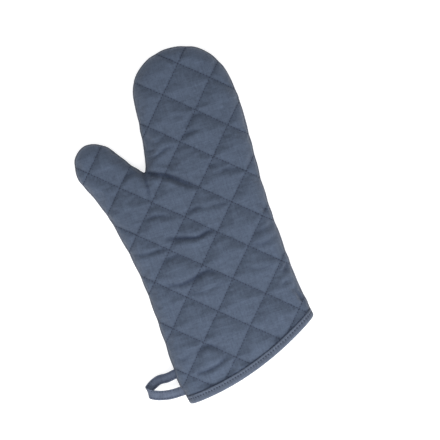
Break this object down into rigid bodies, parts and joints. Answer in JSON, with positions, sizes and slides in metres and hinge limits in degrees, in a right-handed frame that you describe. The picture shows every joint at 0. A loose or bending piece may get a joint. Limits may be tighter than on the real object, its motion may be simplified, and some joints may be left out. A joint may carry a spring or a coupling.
{
  "type": "oven mitt",
  "caption": "Padded oven mitt for the left hand with a quilted palm, plain back, thumb, slanted bound cuff and a tape loop to hang it by.",
  "frame": {"origin": "on the table, under the middle of the mitt's bounding box as it lies on its plain back", "axes": "+Y from the cuff to the fingertips, +Z out of the quilted palm, +X to the little-finger side, so the thumb is at -X"},
  "size_m": [0.1748, 0.3314, 0.0229],
  "materials": {
    "outer_cloth": "slate blue cotton twill",
    "lining_cloth": "slate blue plain-weave lining",
    "wadding": "cotton batting",
    "tape": "folded slate blue tape",
    "thread": "sewing thread"
  },
  "bodies": {
    "hand": {"back_cloth_hand": "outer_cloth", "back_lining_hand": "lining_cloth", "back_wadding_hand": "wadding", "cuff_binding": "tape", "cuff_topstitching": "thread", "palm_cloth_hand": "outer_cloth", "palm_lining_hand": "lining_cloth", "palm_wadding_hand": "wadding", "quilting_hand_net": "thread", "side_seam_crotch": "thread", "side_seam_little_finger_side": "thread", "side_seam_thumb_side": "thread"},
    "fingers": {"back_cloth_fingers": "outer_cloth", "back_lining_fingers": "lining_cloth", "back_wadding_fingers": "wadding", "palm_cloth_fingers": "outer_cloth", "palm_lining_fingers": "lining_cloth", "palm_wadding_fingers": "wadding", "quilting_fingers_end_run_1": "thread", "quilting_fingers_net": "thread", "side_seam_fingers": "thread"},
    "thumb": {"back_cloth_thumb": "outer_cloth", "back_lining_thumb": "lining_cloth", "back_wadding_thumb": "wadding", "palm_cloth_thumb": "outer_cloth", "palm_lining_thumb": "lining_cloth", "palm_wadding_thumb": "wadding", "quilting_thumb_end_run_1": "thread", "quilting_thumb_net": "thread", "side_seam_thumb": "thread"},
    "loop": {"hang_loop": "tape", "hang_loop_stitching": "thread"}
  },
  "joints": [
    {"name": "fingers_fold", "type": "hinge", "parent": "hand", "child": "fingers", "pos_m": [0.0336, 0.0847, 0.0235], "axis": [1, 0, 0], "range_deg": [0, 75], "stiffness_Nm_per_rad": 0.03},
    {"name": "thumb_fold", "type": "hinge", "parent": "hand", "child": "thumb", "pos_m": [-0.0293, 0.0675, 0.0235], "axis": [0.891, 0.454, 0], "range_deg": [0, 70], "stiffness_Nm_per_rad": 0.015},
    {"name": "hang_loop_swing", "type": "hinge", "parent": "hand", "child": "loop", "pos_m": [-0.0558, -0.1425, 0.008], "axis": [0, 1, 0], "range_deg": [-80, 80], "stiffness_Nm_per_rad": 0.01}
  ]
}
